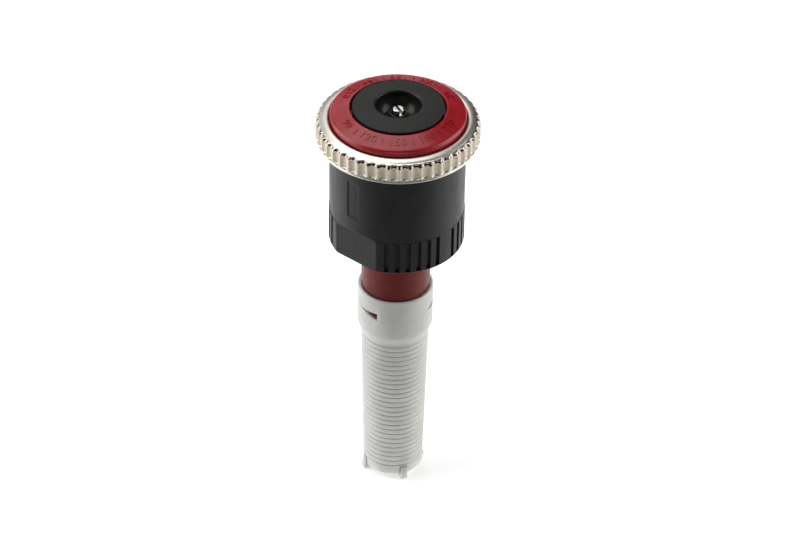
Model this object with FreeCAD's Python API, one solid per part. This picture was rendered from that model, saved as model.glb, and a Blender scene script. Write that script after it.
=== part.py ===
"""Multi-stream rotary nozzle for a pop-up spray body, with its clip-on filter basket.

Millimetres. Z is the nozzle's axis, up, and z = 0 is the bottom of the filter's feet.
An angle round the axis is measured from the front (-Y), and grows towards +X.
The solids are placed with the head retracted and the arc and throttle fully open.
"""
import FreeCAD, Part
import math
import os

V = FreeCAD.Vector
UP = V(0, 0, 1)
ORIGIN = V(0, 0, 0)

# ---- driving dimensions -------------------------------------------------------------------
# riser interface
THREAD_R = 7.94           # 5/8 inch, 28 per inch: major radius
THREAD_PITCH = 25.4 / 28
THREAD_DEPTH = 0.45
RISER_BORE_R = 6.70       # bore of the riser that the filter hangs in

# filter basket
COLLAR_R = 6.54
FOOT_REACH = 5.80
FOOT_WIDTH = 1.30
FOOT_ANGLES = (21.8, 111.8, 201.8, 291.8)
BASKET_BOTTOM_Z = 1.0
BASKET_BOTTOM_R = 5.27
BASKET_TOP_Z = 30.9
BASKET_TOP_R = 5.91
BASKET_WALL = 0.85
BASKET_BARS = 8
BASKET_BAR_WIDTH = 0.9
BASKET_BAR_DEPTH = 0.5
SLOT_PITCH = 1.05
SLOT_HEIGHT = 0.24
SLOT_COUNT = 27
SLOT_FIRST_Z = 2.9
NECK_TOP_Z = 32.6
COLLAR_TOP_Z = 40.55
WINDOW_ANGLES = (-47, 73, 193)
WINDOW_SPAN = 38
WINDOW_TIP_Z = 37.15
WINDOW_RISE = 0.5         # of the top edge, towards the square end
WINDOW_DROP = 1.1         # of the bottom edge

# inlet tube
TUBE_R = 5.95
TUBE_BORE_R = 4.60
TUBE_BOTTOM_Z = 33.5
KEY_WIDTH = 1.0
KEY_INNER_R = 4.05
KEY_BOTTOM_Z = 34.2
KEY_TOP_Z = 55.5

# base housing
BASE_BOTTOM_Z = 50.9
BASE_TOP_Z = 72.5
BASE_BOTTOM_R = 11.50
BASE_TOP_R = 11.60
GRIP_TOP_Z = 57.1
GRIP_PROUD = 0.09
FLAT_ANGLE = -39.25
FLAT_HALF_ANGLE = 22.25
FLAT_RUN_OUT = 1 / 1.15   # rise of the slope above a flat, over its way out
GROOVE_FIRST = 31.5
GROOVE_PITCH = 9.0
GROOVE_COUNT = 14
GROOVE_LEFT_OUT = 6       # wide land in the middle of the row
GROOVE_WIDTH = 0.72
GROOVE_DEPTH = 0.50
GROOVE_RIM = 0.35         # left uncut at the bottom
PANEL_FROM, PANEL_TO = -45.5, -34.0
PANEL_BOTTOM_Z, PANEL_TOP_Z = 60.5, 67.7
PANEL_DEPTH = 0.18
WEB_BOTTOM_Z = 60.3
WEB_TOP_Z = 61.3
CUP_R = 9.76

# arc ring
RING_R = 13.90
RING_BORE_R = 11.66
RING_TOP_BORE_R = 11.72
RING_BOTTOM_Z = 71.3
RING_TOP_Z = 75.15
FLUTE_COUNT = 48
FLUTE_BOTTOM_Z = 71.9
FLUTE_R = 0.85
FLUTE_DEPTH = 0.45
FLUTE_FIRST = 5.25
RING_WEB_BOTTOM_Z = 72.75
RING_WEB_TOP_Z = 73.35

# arc valve
SLEEVE_R = 9.70
SLEEVE_WALL = 0.80
SLEEVE_BOTTOM_Z = 63.5
SLEEVE_FLOOR_TOP_Z = 64.3
LUG_REACH = 10.30
LUG_WIDTH = 2.4
LUG_COUNT = 4
CORE_PLATE_BOTTOM_Z = 62.3
CORE_PLATE_TOP_Z = 63.4
CORE_HUB_R = 3.0
CORE_HUB_TOP_Z = 65.0
SPOKE_BOTTOM_Z = 59.0
ORIFICE_INNER_R = 3.4
ORIFICE_OUTER_R = 4.5
ORIFICE_ARC = 210

# head
HEAD_R = 11.50
HEAD_STEP_Z = 74.2
HEAD_SHOULDER_Z = 75.7
HEAD_RIM_R = 10.94
HEAD_RIM_Z = 76.3
HEAD_MOUTH_R = 8.16
HEAD_MOUTH_Z = 77.2
HEAD_BOTTOM_R = 3.3
HEAD_BOTTOM_Z = 65.3
FLARE_MID = (5.2, 70.4)
CHANNEL_COUNT = 14
CHANNEL_R = 0.60
CHANNEL_TILT = 12.0
CHAMBER_R = 4.6
CHAMBER_BOTTOM_Z = 71.6
SHELF_Z = 75.55
POCKET_R = 7.2
POCKET_BOTTOM_Z = 74.2
CAP_R = 7.73
CAP_EDGE_Z = 77.4
CAP_TOP_Z = 77.85
CAP_RIM_R = 4.1
BOWL_BOTTOM_Z = 74.9
BOSS_R = 1.5
BOSS_TOP_Z = 76.15
BEARING_R = 2.2
BEARING_BOTTOM_Z = 70.0
SEAL_R = 2.0
SEAL_BOTTOM_Z = 68.6
CAP_HUB_Z = 73.4
DRUM_BOTTOM_Z = 71.95
DRUM_TOP_Z = 73.1

# shaft and what it carries
SHAFT_R = 1.0
SHAFT_TOP_Z = 76.95
SHAFT_BOTTOM_Z = 35.0
RUNNING = 0.06            # radial running clearance on the shaft
SLOT_ANGLE = -63.0
SLOT_DEPTH = 0.9
SCREW_PITCH = 0.8
SCREW_THREAD_TOP_Z = 42.0
RETAINER_BOTTOM_Z = 48.8
RETAINER_TOP_Z = 50.0
SEAT_BOTTOM_Z = 46.0
SEAT_TOP_Z = 47.5
NUT_BOTTOM_Z = 35.7
NUT_TOP_Z = 38.7
SPRING_MEAN_R = 3.1
SPRING_WIRE_R = 0.25
SPRING_TURNS = 5.5
# -------------------------------------------------------------------------------------------


def point(step):
    """The (r, z) end of an outline step, in the XZ plane."""
    return V(step[-2], 0, step[-1])


def turned(outline):
    """Solid of revolution from (r, z) corners. (r1, z1, r2, z2) is an arc through 1 to 2."""
    edges = []
    here = point(outline[0])
    for step in outline[1:] + [outline[0][-2:]]:
        there = point(step)
        if here.distanceToPoint(there) > 1e-6:
            if len(step) == 4:
                edges.append(Part.Arc(here, V(step[0], 0, step[1]), there).toShape())
            else:
                edges.append(Part.makeLine(here, there))
        here = there
    return Part.Face(Part.Wire(edges)).revolve(ORIGIN, UP, 360)


def tube(r_in, r_out, z_low, z_high):
    """Plain round tube."""
    return turned([(r_in, z_low), (r_out, z_low), (r_out, z_high), (r_in, z_high)])


def rod(r, z_low, z_high):
    """Plain round bar."""
    return Part.makeCylinder(r, z_high - z_low, V(0, 0, z_low))


def bar(width, r_in, r_out, z_low, z_high):
    """Block on the front (-Y), from r_in out to r_out."""
    return Part.makeBox(width, r_out - r_in, z_high - z_low, V(-width / 2, -r_out, z_low))


def at(shape, angle):
    """Copy of a shape built on the front, turned to its angle round the axis."""
    copy = shape.copy()
    copy.rotate(ORIGIN, UP, angle)
    return copy


def around(shape, count, first=0.0):
    """Copies of a shape, evenly spaced round the axis."""
    return [at(shape, first + 360.0 * i / count) for i in range(count)]


def wedge(r_in, r_out, z_low, z_high, start, span):
    """Ring sector from start, spanning span degrees, in the front-based angle."""
    face = Part.Face(Part.makePolygon([V(r_in, 0, z_low), V(r_out, 0, z_low),
                                       V(r_out, 0, z_high), V(r_in, 0, z_high), V(r_in, 0, z_low)]))
    solid = face.revolve(ORIGIN, UP, span)
    solid.rotate(ORIGIN, UP, start - 90)
    return solid


def o_ring(mean_r, section_r, z):
    """Round-section seal."""
    return Part.makeTorus(mean_r, section_r, V(0, 0, z), UP)


def e_clip(r_in, r_out, z_low, z_high, mouth):
    """Flat clip with an open mouth at the back."""
    clip = tube(r_in, r_out, z_low, z_high)
    return clip.cut(at(bar(mouth, 0.2, r_out + 1, z_low - 1, z_high + 1), 180))


def basket_r(z):
    """Outer radius of the tapered basket at a height."""
    share = (z - BASKET_BOTTOM_Z) / (BASKET_TOP_Z - BASKET_BOTTOM_Z)
    return BASKET_BOTTOM_R + share * (BASKET_TOP_R - BASKET_BOTTOM_R)


def base_r(z):
    """Outer radius of the slightly tapered housing at a height."""
    share = (z - BASE_BOTTOM_Z) / (BASE_TOP_Z - BASE_BOTTOM_Z)
    return BASE_BOTTOM_R + share * (BASE_TOP_R - BASE_BOTTOM_R)


# ---- filter -------------------------------------------------------------------------------

def basket_shell():
    """Tapered strainer wall with a closed floor, the neck cone and the clip collar."""
    z0, z1 = BASKET_BOTTOM_Z, BASKET_TOP_Z
    inner_low = basket_r(z0) - BASKET_WALL
    inner_high = basket_r(z1) - BASKET_WALL
    collar_in = TUBE_R + 0.08
    return turned([
        (0, z0), (BASKET_BOTTOM_R - 0.15, z0), (BASKET_BOTTOM_R, z0 + 0.15),
        (BASKET_TOP_R, z1), (COLLAR_R, NECK_TOP_Z), (COLLAR_R, COLLAR_TOP_Z - 1.5),
        (COLLAR_R - 0.075, COLLAR_TOP_Z - 0.7, COLLAR_R - 0.27, COLLAR_TOP_Z),
        (collar_in, COLLAR_TOP_Z), (collar_in, TUBE_BOTTOM_Z), (inner_high, TUBE_BOTTOM_Z),
        (inner_high, z1), (inner_low, z0 + 1.0), (0, z0 + 1.0)])


def collar_window():
    """Clip window in steps: a slit that opens towards its square end."""
    steps = 6
    one = WINDOW_SPAN / steps
    cuts = []
    for i in range(steps):
        share = (i + 0.5) / steps
        cuts.append(wedge(TUBE_R - 0.5, COLLAR_R + 0.5, WINDOW_TIP_Z - WINDOW_DROP * share,
                          WINDOW_TIP_Z + WINDOW_RISE * share, one * i - WINDOW_SPAN / 2,
                          one + 0.02))
    return cuts[0].multiFuse(cuts[1:]).removeSplitter()


def filter_basket():
    """Strainer: slotted wall on inner bars, four feet and a clip collar."""
    shell = basket_shell()
    slots = [tube(basket_r(SLOT_FIRST_Z + i * SLOT_PITCH) - BASKET_WALL - 0.3, COLLAR_R,
                  SLOT_FIRST_Z + i * SLOT_PITCH, SLOT_FIRST_Z + i * SLOT_PITCH + SLOT_HEIGHT)
             for i in range(SLOT_COUNT)]
    windows = [at(collar_window(), a) for a in WINDOW_ANGLES]
    shell = shell.cut(Part.makeCompound(slots + windows))
    low, high = BASKET_BOTTOM_Z + 0.5, BASKET_TOP_Z + 0.6
    skin = 0.35
    core = Part.makeCone(basket_r(low) - skin, basket_r(high) - skin, high - low, V(0, 0, low))
    r_bar = BASKET_BOTTOM_R - BASKET_WALL - BASKET_BAR_DEPTH + skin
    one_bar = bar(BASKET_BAR_WIDTH, r_bar, BASKET_TOP_R, low, high).common(core)
    bars = around(one_bar, BASKET_BARS, 22.5)
    foot = bar(FOOT_WIDTH, 1.6, FOOT_REACH, 0, BASKET_BOTTOM_Z + 0.2)
    heel = bar(FOOT_WIDTH, BASKET_BOTTOM_R - 0.4, FOOT_REACH, 0, BASKET_BOTTOM_Z + 1.5)
    foot = foot.fuse(heel).common(rod(FOOT_REACH, 0, 5))
    feet = [at(foot, a) for a in FOOT_ANGLES]
    return shell.multiFuse(bars + feet)


# ---- fixed base ---------------------------------------------------------------------------

def thread_wall():
    """Outline of the riser thread's crests, from the web down to the mouth."""
    steps = []
    z = WEB_BOTTOM_Z - 1.4
    while z > BASE_BOTTOM_Z + 1.3:
        steps += [(THREAD_R, z), (THREAD_R - THREAD_DEPTH, z - THREAD_PITCH / 2)]
        z -= THREAD_PITCH
    return steps + [(THREAD_R, z)]


def wrench_flat(inner, outer):
    """Cutter for a flat on the front: upright in the grip band, sloping out above it."""
    low = BASE_BOTTOM_Z - 1
    slope_top = GRIP_TOP_Z + (outer - inner) * FLAT_RUN_OUT
    side = Part.makePolygon([V(-6, -inner, low), V(-6, -inner, GRIP_TOP_Z),
                             V(-6, -outer, slope_top), V(-6, -outer, low), V(-6, -inner, low)])
    return Part.Face(side).extrude(V(12, 0, 0))


def base_housing():
    """Body with the riser's thread, a cup for the arc valve, grip grooves and wrench flats."""
    grip_r = base_r(GRIP_TOP_Z) + GRIP_PROUD
    groove_low, groove_high = 71.4, 72.0
    shell = turned([
        (THREAD_R + 0.5, BASE_BOTTOM_Z), (grip_r - 0.25, BASE_BOTTOM_Z),
        (grip_r, BASE_BOTTOM_Z + 0.25), (grip_r, GRIP_TOP_Z - 0.07),
        (base_r(GRIP_TOP_Z), GRIP_TOP_Z), (base_r(groove_low), groove_low),
        (BASE_TOP_R - 0.25, groove_low), (BASE_TOP_R - 0.25, groove_high),
        (BASE_TOP_R, groove_high), (BASE_TOP_R, BASE_TOP_Z - 0.2),
        (BASE_TOP_R - 0.2, BASE_TOP_Z), (CUP_R + 0.15, BASE_TOP_Z), (CUP_R, BASE_TOP_Z - 0.15),
        (CUP_R, WEB_TOP_Z), (TUBE_R + 0.03, WEB_TOP_Z), (TUBE_R + 0.03, WEB_BOTTOM_Z),
        (THREAD_R, WEB_BOTTOM_Z)] + thread_wall() + [(THREAD_R, BASE_BOTTOM_Z + 0.5)])
    cuts = []
    flat_r = grip_r * math.cos(math.radians(FLAT_HALF_ANGLE))
    groove = bar(GROOVE_WIDTH, grip_r - GROOVE_DEPTH, grip_r + 1, BASE_BOTTOM_Z + GROOVE_RIM,
                 GRIP_TOP_Z)
    for side in (0, 180):
        cuts.append(at(wrench_flat(flat_r, grip_r + 2), FLAT_ANGLE + side))
        for k in range(GROOVE_COUNT):
            if k != GROOVE_LEFT_OUT:
                cuts.append(at(groove, FLAT_ANGLE + GROOVE_FIRST + GROOVE_PITCH * k + side))
    cuts.append(wedge(base_r(PANEL_TOP_Z) - PANEL_DEPTH, HEAD_R + 2, PANEL_BOTTOM_Z, PANEL_TOP_Z,
                      PANEL_FROM, PANEL_TO - PANEL_FROM))
    return shell.cut(Part.makeCompound(cuts))


def inlet_tube():
    """Tube down to the filter, with a flange in the cup and two keys in its bore."""
    flange_r = CUP_R - 0.03
    body = turned([
        (TUBE_BORE_R, TUBE_BOTTOM_Z), (TUBE_R - 0.3, TUBE_BOTTOM_Z), (TUBE_R, TUBE_BOTTOM_Z + 0.3),
        (TUBE_R, WEB_TOP_Z), (flange_r, WEB_TOP_Z), (flange_r, CORE_PLATE_BOTTOM_Z),
        (TUBE_BORE_R, CORE_PLATE_BOTTOM_Z)])
    seal_groove = tube(7.35, 8.45, WEB_TOP_Z - 1, WEB_TOP_Z + 0.5)
    keys = around(bar(KEY_WIDTH, KEY_INNER_R, TUBE_BORE_R + 0.2, KEY_BOTTOM_Z, KEY_TOP_Z), 2)
    return body.cut(seal_groove).multiFuse(keys)


def tube_oring():
    """Seal between the tube's flange and the housing's web."""
    return o_ring(7.9, 0.25, WEB_TOP_Z + 0.25)


def key_notches(clearance, z_low, z_high):
    """The space that a keyed disc leaves for the tube's two keys."""
    return Part.makeCompound(around(bar(KEY_WIDTH + 2 * clearance, KEY_INNER_R - clearance,
                                        TUBE_BORE_R + 1, z_low - 1, z_high + 1), 2))


def throttle_seat():
    """Ring pressed in the tube, with a bevelled mouth that the nut closes."""
    seat = turned([(3.3, SEAT_BOTTOM_Z), (TUBE_BORE_R, SEAT_BOTTOM_Z), (TUBE_BORE_R, SEAT_TOP_Z),
                   (3.0, SEAT_TOP_Z), (3.0, SEAT_BOTTOM_Z + 0.3)])
    return seat.cut(key_notches(0.02, SEAT_BOTTOM_Z, SEAT_TOP_Z))


def stem_core():
    """Fixed valve plate with its curved slot, and the spoked hub that guides the shaft."""
    hub = tube(1.9, CORE_HUB_R, SPOKE_BOTTOM_Z + 0.6, CORE_HUB_TOP_Z)
    plate = tube(1.9, CUP_R - 0.03, CORE_PLATE_BOTTOM_Z, CORE_PLATE_TOP_Z)
    slot = wedge(ORIFICE_INNER_R, ORIFICE_OUTER_R, CORE_PLATE_BOTTOM_Z - 1, CORE_PLATE_TOP_Z + 1,
                 -ORIFICE_ARC / 2.0, ORIFICE_ARC)
    spokes = around(bar(0.8, CORE_HUB_R - 0.5, TUBE_BORE_R - 0.03, SPOKE_BOTTOM_Z,
                        CORE_PLATE_BOTTOM_Z), 4, 45)
    seat_ring = tube(2.6, 3.6, SPOKE_BOTTOM_Z, SPOKE_BOTTOM_Z + 0.7)
    groove = tube(2.62, CORE_HUB_R + 1, 63.85, 64.25)
    return plate.cut(slot).multiFuse([hub, seat_ring] + spokes).cut(groove)


def core_oring():
    """Seal between the core's hub and the arc sleeve."""
    return o_ring(2.82, 0.19, 64.05)


def shaft_bushing():
    """Flanged bush in the core's hub."""
    return turned([(SHAFT_R + RUNNING, SPOKE_BOTTOM_Z + 0.1), (1.9, SPOKE_BOTTOM_Z + 0.1),
                   (1.9, CORE_HUB_TOP_Z), (2.5, CORE_HUB_TOP_Z), (2.5, CORE_HUB_TOP_Z + 0.12),
                   (SHAFT_R + RUNNING, CORE_HUB_TOP_Z + 0.12)])


def return_spring():
    """Compression spring between the retainer and the core, with a wire's radius of land."""
    height = SPOKE_BOTTOM_Z - RETAINER_TOP_Z - 2 * SPRING_WIRE_R - 0.04
    helix = Part.makeHelix(height / SPRING_TURNS, height, SPRING_MEAN_R)
    ring = Part.Wire(Part.makeCircle(SPRING_WIRE_R, V(SPRING_MEAN_R, 0, 0), V(0, 1, 0)))
    coil = Part.Wire(helix.Edges).makePipeShell([ring], True, True)
    coil.translate(V(0, 0, RETAINER_TOP_Z + SPRING_WIRE_R + 0.02))
    return coil


# ---- arc set ------------------------------------------------------------------------------

def arc_ring():
    """Fluted ring with the web that turns the arc sleeve and a bead that snaps on the base."""
    body = turned([
        (RING_BORE_R, RING_BOTTOM_Z), (RING_R - 0.12, RING_BOTTOM_Z), (RING_R, RING_BOTTOM_Z + 0.12),
        (RING_R, 74.0), (RING_R - 0.2, 74.42, 13.1, 74.8), (12.6, 75.04, 12.0, RING_TOP_Z),
        (RING_TOP_BORE_R, 74.95),
        (RING_TOP_BORE_R, RING_WEB_TOP_Z), (SLEEVE_R + 0.03, RING_WEB_TOP_Z),
        (SLEEVE_R + 0.03, RING_WEB_BOTTOM_Z), (RING_BORE_R, RING_WEB_BOTTOM_Z),
        (RING_BORE_R, 71.9), (RING_BORE_R - 0.2, 71.8), (RING_BORE_R - 0.2, 71.6),
        (RING_BORE_R, 71.5)])
    flute = Part.makeCylinder(FLUTE_R, 5, V(0, -(RING_R - FLUTE_DEPTH + FLUTE_R), FLUTE_BOTTOM_Z))
    notch = bar(LUG_WIDTH + 0.06, SLEEVE_R - 1, LUG_REACH + 0.03, RING_WEB_BOTTOM_Z - 0.5,
                RING_WEB_TOP_Z + 0.5)
    cuts = around(flute, FLUTE_COUNT, FLUTE_FIRST) + around(notch, LUG_COUNT, 45)
    return body.cut(Part.makeCompound(cuts))


def arc_sleeve():
    """Cup turned by the ring. Its slot over the core's slot sets the arc that is open."""
    r_hole = CORE_HUB_R + RUNNING
    inner_r = SLEEVE_R - SLEEVE_WALL
    cup = turned([
        (r_hole, SLEEVE_BOTTOM_Z), (SLEEVE_R - 0.3, SLEEVE_BOTTOM_Z), (SLEEVE_R, SLEEVE_BOTTOM_Z + 0.3),
        (SLEEVE_R, 65.6), (SLEEVE_R - 0.5, 65.6), (SLEEVE_R - 0.5, 66.2), (SLEEVE_R, 66.2),
        (SLEEVE_R, RING_WEB_TOP_Z), (SLEEVE_R - 0.25, RING_WEB_TOP_Z), (inner_r, 72.5),
        (inner_r, SLEEVE_FLOOR_TOP_Z + 1.0),
        (inner_r - 1.0, SLEEVE_FLOOR_TOP_Z), (5.2, SLEEVE_FLOOR_TOP_Z), (5.2, 66.0), (4.7, 66.0),
        (ORIFICE_OUTER_R + 0.1, SLEEVE_FLOOR_TOP_Z), (r_hole, SLEEVE_FLOOR_TOP_Z)])
    slot = wedge(ORIFICE_INNER_R, ORIFICE_OUTER_R, SLEEVE_BOTTOM_Z - 1, SLEEVE_FLOOR_TOP_Z + 0.01,
                 -ORIFICE_ARC / 2.0, ORIFICE_ARC)
    lugs = around(bar(LUG_WIDTH, SLEEVE_R - 0.4, LUG_REACH, RING_WEB_BOTTOM_Z, RING_WEB_TOP_Z),
                  LUG_COUNT, 45)
    return cup.cut(slot).multiFuse(lugs)


def sleeve_oring():
    """Seal between the arc sleeve and the housing's cup."""
    return o_ring(SLEEVE_R - 0.25, 0.24, 65.9)


# ---- shaft and throttle -------------------------------------------------------------------

def shaft():
    """Radius screw: a slotted head end, two clip grooves and the throttle's thread."""
    clip_z, stop_z = RETAINER_BOTTOM_Z - 0.5, SHAFT_BOTTOM_Z + 0.25
    outline = [(0, SHAFT_BOTTOM_Z), (SHAFT_R - 0.15, SHAFT_BOTTOM_Z),
               (SHAFT_R, SHAFT_BOTTOM_Z + 0.15), (SHAFT_R, stop_z), (0.7, stop_z),
               (0.7, stop_z + 0.3), (SHAFT_R, stop_z + 0.3)]
    z = stop_z + 0.6
    while z < SCREW_THREAD_TOP_Z:
        outline += [(SHAFT_R, z), (SHAFT_R - 0.14, z + SCREW_PITCH / 4), (SHAFT_R, z + SCREW_PITCH / 2)]
        z += SCREW_PITCH
    outline += [(SHAFT_R, clip_z), (0.7, clip_z), (0.7, clip_z + 0.4), (SHAFT_R, clip_z + 0.4),
                (SHAFT_R, SHAFT_TOP_Z - 0.18), (SHAFT_R - 0.05, SHAFT_TOP_Z - 0.05,
                                                SHAFT_R - 0.18, SHAFT_TOP_Z), (0, SHAFT_TOP_Z)]
    driver_slot = at(Part.makeBox(3, 0.46, 1.2, V(-1.5, -0.23, SHAFT_TOP_Z - SLOT_DEPTH)),
                     SLOT_ANGLE)
    return turned(outline).cut(driver_slot)


def retainer_clip():
    """Clip that carries the spring retainer on the shaft."""
    return e_clip(0.72, 2.0, RETAINER_BOTTOM_Z - 0.48, RETAINER_BOTTOM_Z - 0.12, 1.3)


def nut_stop_clip():
    """Clip that stops the nut from leaving the shaft."""
    return e_clip(0.72, 1.7, SHAFT_BOTTOM_Z + 0.27, SHAFT_BOTTOM_Z + 0.53, 1.3)


def brake_stator():
    """Drum with lobes that turns in the head's viscous fluid."""
    drum = tube(SHAFT_R, 3.5, DRUM_BOTTOM_Z, DRUM_TOP_Z)
    lobes = around(bar(1.0, 3.2, 4.2, DRUM_BOTTOM_Z, DRUM_TOP_Z), 8)
    return drum.multiFuse(lobes)


def spring_retainer():
    """Keyed, vented disc under the spring."""
    disc = tube(SHAFT_R + RUNNING, 4.4, RETAINER_BOTTOM_Z, RETAINER_TOP_Z)
    guide = tube(SHAFT_R + RUNNING, 2.0, RETAINER_TOP_Z - 0.1, RETAINER_TOP_Z + 1.6)
    vents = [wedge(2.1, 3.9, 40, 60, 20 + 90 * i, 50) for i in range(4)]
    rim_seat = tube(2.7, 3.5, RETAINER_BOTTOM_Z, RETAINER_TOP_Z)
    body = disc.cut(Part.makeCompound(vents + [key_notches(0.15, 48, 52)]))
    return body.multiFuse([guide, rim_seat])


def throttle_nut():
    """Keyed nut whose bevelled top closes the seat."""
    nut = turned([(SHAFT_R + RUNNING, NUT_BOTTOM_Z), (3.0, NUT_BOTTOM_Z), (4.3, NUT_BOTTOM_Z + 1.3),
                  (4.3, NUT_TOP_Z - 0.4), (3.9, NUT_TOP_Z), (SHAFT_R + RUNNING, NUT_TOP_Z)])
    return nut.cut(key_notches(0.15, NUT_BOTTOM_Z, NUT_TOP_Z))


# ---- head ---------------------------------------------------------------------------------

def circle_through(a, b, c):
    """Centre and radius of the circle through three (r, z) points."""
    edge = Part.Arc(V(a[0], a[1], 0), V(b[0], b[1], 0), V(c[0], c[1], 0)).toShape()
    return edge.Curve.Center, edge.Curve.Radius


def stream_channel():
    """Round groove that follows the flare on the front, leaning round the axis."""
    centre, radius = circle_through((HEAD_BOTTOM_R, HEAD_BOTTOM_Z), FLARE_MID, (HEAD_R, HEAD_STEP_Z))
    groove = Part.makeTorus(radius, CHANNEL_R, V(0, -centre.x, centre.y), V(1, 0, 0))
    groove.rotate(V(0, -FLARE_MID[0], FLARE_MID[1]), V(0, -1, 0), CHANNEL_TILT)
    return groove


def rotor_deflector():
    """Head: stream channels beneath, the brake's chamber inside, a domed top with a wide mouth."""
    body = turned([
        (1.25, HEAD_BOTTOM_Z), (HEAD_BOTTOM_R, HEAD_BOTTOM_Z), FLARE_MID + (HEAD_R, HEAD_STEP_Z),
        (HEAD_R, HEAD_SHOULDER_Z), (HEAD_R - 0.12, HEAD_RIM_Z - 0.16, HEAD_RIM_R, HEAD_RIM_Z),
        (HEAD_MOUTH_R + 0.22, HEAD_MOUTH_Z), (HEAD_MOUTH_R + 0.02, HEAD_MOUTH_Z + 0.0,
                                              HEAD_MOUTH_R, HEAD_MOUTH_Z - 0.2),
        (HEAD_MOUTH_R, SHELF_Z), (POCKET_R, SHELF_Z), (POCKET_R, POCKET_BOTTOM_Z),
        (CHAMBER_R, POCKET_BOTTOM_Z), (CHAMBER_R, CHAMBER_BOTTOM_Z), (BEARING_R, CHAMBER_BOTTOM_Z),
        (BEARING_R, BEARING_BOTTOM_Z), (SEAL_R, BEARING_BOTTOM_Z), (SEAL_R, SEAL_BOTTOM_Z),
        (1.25, SEAL_BOTTOM_Z)])
    return body.cut(Part.makeCompound(around(stream_channel(), CHANNEL_COUNT)))


def rotor_cap():
    """Domed cap with a bowl and a boss round the radius screw."""
    hub_r, hub_z = 3.2, CAP_HUB_Z
    skirt_r = POCKET_R - 0.03
    body = turned([
        (1.25, BOSS_TOP_Z), (1.25, 74.3), (BEARING_R, 74.3), (BEARING_R, hub_z), (hub_r, hub_z),
        (hub_r, POCKET_BOTTOM_Z), (skirt_r, POCKET_BOTTOM_Z), (skirt_r, 74.55),
        (skirt_r - 0.45, 74.55), (skirt_r - 0.45, 75.1), (skirt_r, 75.1), (skirt_r, SHELF_Z),
        (CAP_R, SHELF_Z),
        (CAP_R, CAP_EDGE_Z - 0.15), (CAP_R - 0.04, CAP_EDGE_Z - 0.04, CAP_R - 0.15, CAP_EDGE_Z),
        (6.0, 77.68, CAP_RIM_R + 0.1, CAP_TOP_Z), (CAP_RIM_R - 0.1, CAP_TOP_Z - 0.06,
                                                   CAP_RIM_R - 0.22, CAP_TOP_Z - 0.25),
        (3.45, 75.6, 2.6, BOWL_BOTTOM_Z), (BOSS_R, BOWL_BOTTOM_Z), (BOSS_R, BOSS_TOP_Z - 0.1),
        (BOSS_R - 0.1, BOSS_TOP_Z)])
    return body


def upper_bearing():
    """Bush in the cap's hub."""
    return tube(SHAFT_R + RUNNING, BEARING_R, CAP_HUB_Z + 0.05, 74.3)


def lower_bearing():
    """Bush in the floor of the brake's chamber."""
    return tube(SHAFT_R + RUNNING, BEARING_R, BEARING_BOTTOM_Z, CHAMBER_BOTTOM_Z)


def lip_seal():
    """Seal under the lower bearing, with a lip towards the shaft."""
    z = SEAL_BOTTOM_Z
    return turned([(1.5, z), (SEAL_R, z), (SEAL_R, BEARING_BOTTOM_Z), (1.5, BEARING_BOTTOM_Z),
                   (1.5, z + 1.0), (SHAFT_R + 0.05, z + 0.75), (SHAFT_R + 0.05, z + 0.6),
                   (1.5, z + 0.45)])


def thrust_washer():
    """Washer on the lower bearing, under the drum."""
    return tube(SHAFT_R + RUNNING, 2.6, CHAMBER_BOTTOM_Z, CHAMBER_BOTTOM_Z + 0.25)


def cap_oring():
    """Seal on the cap's skirt."""
    return o_ring(POCKET_R - 0.245, 0.23, 74.82)


SUB_PARTS = (filter_basket, base_housing, inlet_tube, tube_oring, throttle_seat, stem_core,
             core_oring, shaft_bushing, return_spring, arc_ring, arc_sleeve, sleeve_oring, shaft,
             retainer_clip, nut_stop_clip, brake_stator, spring_retainer, throttle_nut,
             rotor_deflector, rotor_cap, upper_bearing, lower_bearing, lip_seal, thrust_washer,
             cap_oring)

os.makedirs("parts", exist_ok=True)
for make in SUB_PARTS:
    solid = make()
    name = make.__name__
    print(name, solid.ShapeType, len(solid.Solids), "valid", solid.isValid(),
          "volume", round(solid.Volume, 2), "faces", len(solid.Faces))
    if solid.ShapeType == "Compound" and len(solid.Solids) == 1:
        solid = solid.Solids[0]
    solid.exportStep("parts/" + name + ".step")
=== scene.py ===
import math

import bpy
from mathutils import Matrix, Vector


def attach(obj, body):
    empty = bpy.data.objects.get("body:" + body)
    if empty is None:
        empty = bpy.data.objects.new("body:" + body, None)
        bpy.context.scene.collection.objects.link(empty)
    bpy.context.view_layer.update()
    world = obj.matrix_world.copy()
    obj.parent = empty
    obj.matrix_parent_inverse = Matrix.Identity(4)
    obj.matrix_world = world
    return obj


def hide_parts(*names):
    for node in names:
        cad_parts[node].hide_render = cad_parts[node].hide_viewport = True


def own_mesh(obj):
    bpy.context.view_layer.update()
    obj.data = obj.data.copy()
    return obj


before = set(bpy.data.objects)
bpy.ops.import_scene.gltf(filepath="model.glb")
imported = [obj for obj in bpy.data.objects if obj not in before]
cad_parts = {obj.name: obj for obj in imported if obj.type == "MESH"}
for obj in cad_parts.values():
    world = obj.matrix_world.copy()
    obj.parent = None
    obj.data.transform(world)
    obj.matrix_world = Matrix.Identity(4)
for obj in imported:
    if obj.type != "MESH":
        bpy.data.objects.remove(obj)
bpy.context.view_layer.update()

MM = 0.001               # outlines below are in millimetres, in the CAD's own frame


# ---- shape tools --------------------------------------------------------------------------

def smooth(low, high, x):
    """0 below low, 1 above high, and a soft step between."""
    t = min(1.0, max(0.0, (x - low) / (high - low)))
    return t * t * (3 - 2 * t)


def turn_gap(a, b):
    """Signed difference of two angles in degrees, from -180 to 180."""
    return (a - b + 180.0) % 360.0 - 180.0


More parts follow.
